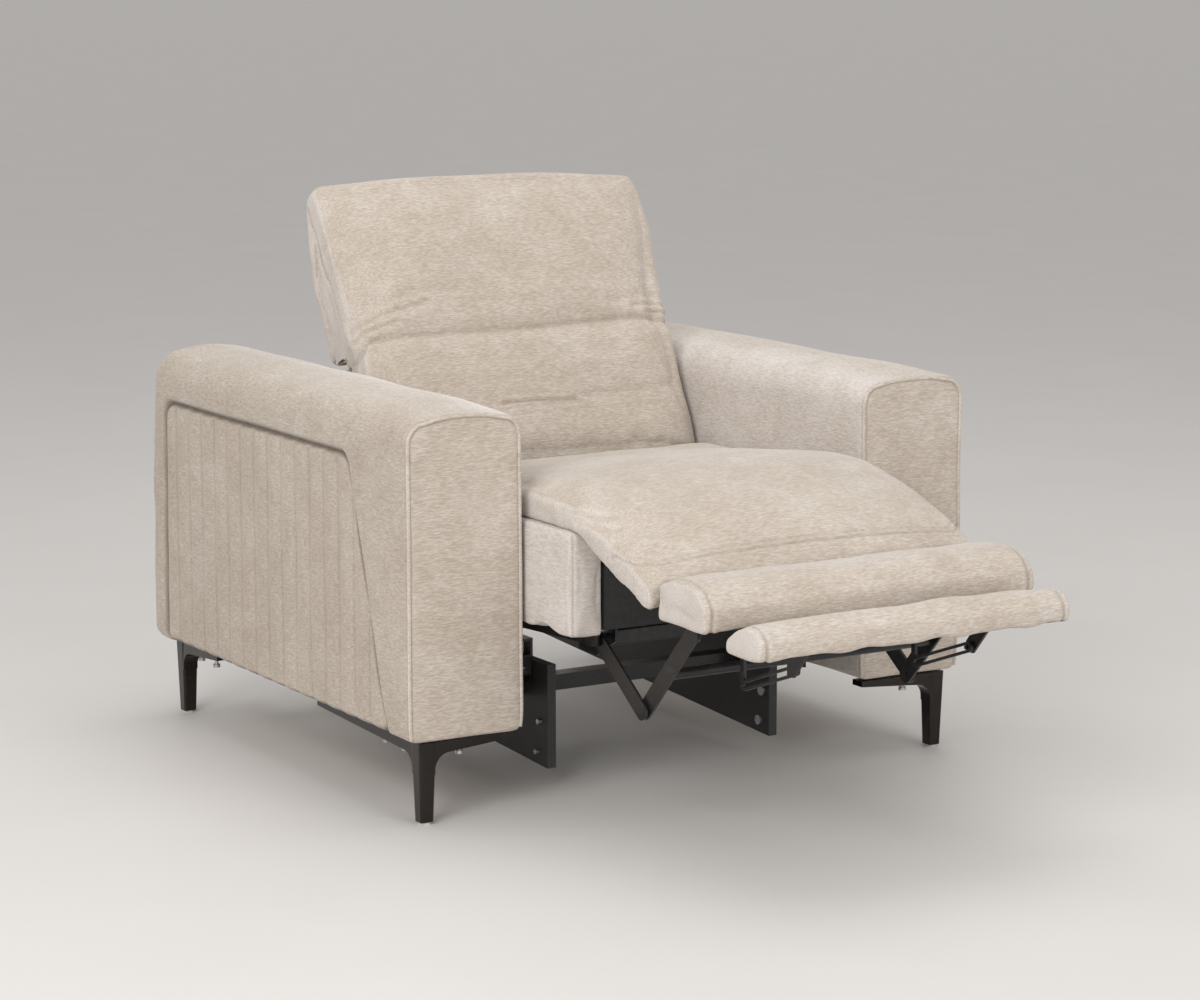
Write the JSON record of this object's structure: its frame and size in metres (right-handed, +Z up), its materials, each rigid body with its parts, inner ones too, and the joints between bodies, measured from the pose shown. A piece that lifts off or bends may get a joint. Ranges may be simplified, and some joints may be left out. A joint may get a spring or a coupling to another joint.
{
  "type": "recliner armchair",
  "caption": "Power recliner armchair, open: boxy padded arms with channelled sides, reclined back with headrest, fold-out footrest on a link mechanism, slim metal legs.",
  "frame": {"origin": "on the floor, under the middle of the open chair's outline", "axes": "+Z up, the sitter faces -Y, the sitter's right arm is on -X"},
  "size_m": [1.02, 1.52, 0.9041],
  "materials": {
    "chenille": "beige chenille, matt",
    "plywood": "raw plywood",
    "bronze": "dark bronze, glossy",
    "glide": "pale plastic",
    "zinc": "zinc plated",
    "black_steel": "black powder coat, satin",
    "black_board": "black powder coat",
    "black_plastic": "matt black",
    "nylon": "pale nylon",
    "foam": "polyurethane foam block",
    "webbing": "woven elastic",
    "timber": "raw softwood"
  },
  "bodies": {
    "base": {"left_arm_cover": "chenille", "right_arm_cover": "chenille", "left_side_panel": "chenille", "right_side_panel": "chenille", "arm_frames": "plywood", "front_left_leg": "bronze", "front_right_leg": "bronze", "rear_left_leg": "bronze", "rear_right_leg": "bronze", "leg_glides": "glide", "leg_screws": "zinc", "arm_bolts": "zinc", "board_bolts": "zinc", "front_cross_rail": "black_steel", "rear_cross_rail": "black_steel", "side_boards": "black_board", "base_tracks": "black_steel", "drive_tube": "zinc", "gearbox": "black_plastic", "drive_motor": "black_steel", "control_box": "black_plastic", "switch_housing": "black_plastic"},
    "carriage": {"carriage_plates": "black_steel", "slide_shoes": "nylon", "left_bolster": "chenille", "right_bolster": "chenille", "seat_frame": "black_board", "inner_plates": "black_steel", "front_torque_tube": "black_steel", "rear_torque_tube": "black_steel", "drive_rod": "zinc", "carriage_pins": "zinc", "seat_core": "foam", "seat_webbing": "webbing", "seat_cushion": "chenille", "lip_hinge_pins": "zinc"},
    "lip": {"lip_board": "black_board", "lip_cushion": "chenille", "lip_hinge_leaves": "zinc"},
    "front_links": {"front_links": "black_steel"},
    "foot_links": {"foot_links": "black_steel", "link_tube": "black_steel"},
    "footrest": {"foot_board": "black_board", "foot_cushion": "chenille", "foot_brackets": "black_steel", "slide_rails": "black_steel"},
    "extension": {"extension_board": "black_board", "extension_cushion": "chenille", "extension_bar": "black_steel"},
    "back": {"lumbar_cushion": "chenille", "back_frame": "timber", "back_webbing": "webbing", "back_panel": "chenille", "back_brackets": "black_steel", "headrest_hinges": "black_steel"},
    "headrest": {"headrest_cushion": "chenille", "headrest_board": "plywood", "headrest_arms": "black_steel"},
    "open_button": {"open_button": "black_plastic"},
    "close_button": {"close_button": "black_plastic"}
  },
  "joints": [
    {"name": "seat_slide", "type": "slide", "parent": "base", "child": "carriage", "axis": [0, 1, 0], "range_m": [0, 0.13]},
    {"name": "lip_fold", "type": "hinge", "parent": "carriage", "child": "lip", "pos_m": [0, -0.32, 0.438], "axis": [1, 0, 0], "range_deg": [0, 68.2]},
    {"name": "front_link_swing", "type": "hinge", "parent": "carriage", "child": "front_links", "pos_m": [0, -0.2586, 0.29], "axis": [1, 0, 0], "range_deg": [0, 125.4]},
    {"name": "foot_link_swing", "type": "hinge", "parent": "front_links", "child": "foot_links", "pos_m": [0, -0.395, 0.195], "axis": [1, 0, 0], "range_deg": [-75.1, 0]},
    {"name": "footrest_tilt", "type": "hinge", "parent": "foot_links", "child": "footrest", "pos_m": [0, -0.522, 0.332], "axis": [1, 0, 0], "range_deg": [0, 40]},
    {"name": "extension_slide", "type": "slide", "parent": "footrest", "child": "extension", "axis": [0, 0.9397, -0.342], "range_m": [0, 0.1252]},
    {"name": "back_recline", "type": "hinge", "parent": "carriage", "child": "back", "pos_m": [0, 0.295, 0.425], "axis": [1, 0, 0], "range_deg": [-20, 12]},
    {"name": "headrest_tilt", "type": "hinge", "parent": "back", "child": "headrest", "pos_m": [0, 0.40124, 0.65721], "axis": [1, 0, 0], "range_deg": [0, 35]},
    {"name": "open_button_press", "type": "slide", "parent": "base", "child": "open_button", "axis": [-1, 0, 0], "range_m": [0, 0.0015], "stiffness_N_per_m": 1500, "springref_m": -0.001},
    {"name": "close_button_press", "type": "slide", "parent": "base", "child": "close_button", "axis": [-1, 0, 0], "range_m": [0, 0.0015], "stiffness_N_per_m": 1500, "springref_m": -0.001}
  ],
  "couplings": [
    {"joint": "lip_fold", "follows": "seat_slide", "rad_per_m": 9.1294},
    {"joint": "front_link_swing", "follows": "seat_slide", "rad_per_m": 16.794},
    {"joint": "foot_link_swing", "follows": "seat_slide", "rad_per_m": -10.049},
    {"joint": "footrest_tilt", "follows": "seat_slide", "rad_per_m": 5.3386},
    {"joint": "extension_slide", "follows": "seat_slide", "ratio": 0.96154}
  ]
}
